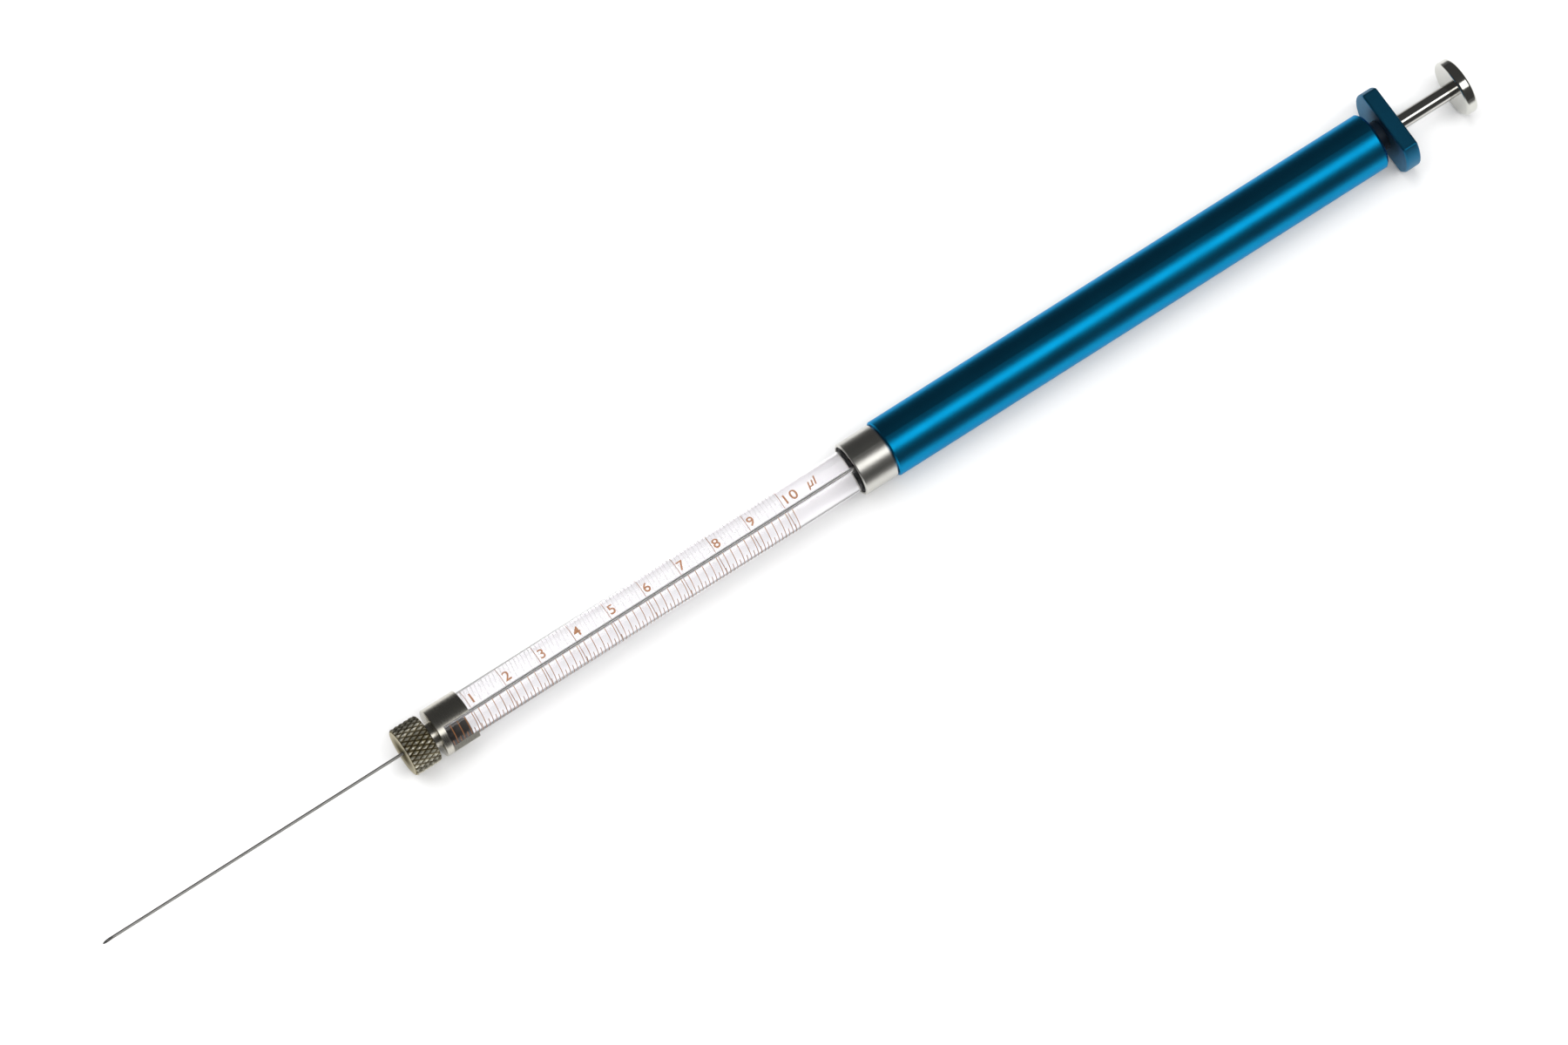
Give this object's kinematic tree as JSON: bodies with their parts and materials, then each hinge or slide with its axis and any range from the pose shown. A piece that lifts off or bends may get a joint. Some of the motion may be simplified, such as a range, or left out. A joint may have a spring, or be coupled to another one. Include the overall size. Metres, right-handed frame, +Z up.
{
  "type": "microsyringe",
  "caption": "Slim glass microsyringe with a removable needle under a knurled nut, a graduated barrel, a blue guide tube with a flatted finger flange, and a long-travel plunger.",
  "frame": {"origin": "under the middle of the syringe's length, on the surface it lies on", "axes": "+X along the syringe from the needle tip to the plunger button, +Z up; the finger flange's flats are level"},
  "size_m": [0.2358, 0.0132, 0.009],
  "materials": {
    "stainless_needle": "drawn stainless, satin",
    "hub_brass": "turned",
    "seal_polymer": "soft white fluoropolymer",
    "knurled_nickel": "nickel-plated brass, diamond knurl",
    "dark_nickel": "nickel-plated brass, turned",
    "clear_glass": "clear borosilicate capillary",
    "fired_ink": "fired red-brown ink",
    "polished_nickel": "nickel-plated brass, polished",
    "black_rubber": "matt black",
    "blue_anodised": "satin blue anodised",
    "stainless_wire": "ground stainless",
    "black_acetal": "turned, dull black",
    "slider_polymer": "natural acetal",
    "stainless_rod": "ground and polished",
    "button_nickel": "nickel-plated brass, turned"
  },
  "bodies": {
    "barrel": {"front_ferrule": "dark_nickel", "glass_barrel": "clear_glass", "scale_marks": "fired_ink", "needle_seal": "seal_polymer", "rear_collar": "polished_nickel", "collar_gasket": "black_rubber", "glass_cushion": "seal_polymer", "guide_body": "blue_anodised", "rod_bush": "black_acetal", "rod_ring": "black_rubber", "finger_flange": "blue_anodised"},
    "needle": {"needle_cannula": "stainless_needle", "needle_hub": "hub_brass"},
    "nut": {"needle_nut": "knurled_nickel"},
    "plunger": {"plunger_wire": "stainless_wire", "wire_chuck": "hub_brass", "chuck_screw": "stainless_wire", "guide_slider": "slider_polymer", "slider_clip": "stainless_wire", "plunger_rod": "stainless_rod", "plunger_button": "button_nickel"}
  },
  "joints": [
    {"name": "plunger_slide", "type": "slide", "parent": "barrel", "child": "plunger", "axis": [1, 0, 0], "range_m": [0, 0.06]},
    {"name": "needle_out", "type": "slide", "parent": "barrel", "child": "needle", "axis": [-1, 0, 0], "range_m": [0, 0.0021]},
    {"name": "nut_unscrew", "type": "hinge", "parent": "needle", "child": "nut", "pos_m": [-0.06498, 0, 0.0045], "axis": [-1, 0, 0], "range_deg": [0, 1080]}
  ],
  "couplings": [
    {"joint": "nut_unscrew", "follows": "needle_out", "rad_per_m": 8976}
  ]
}
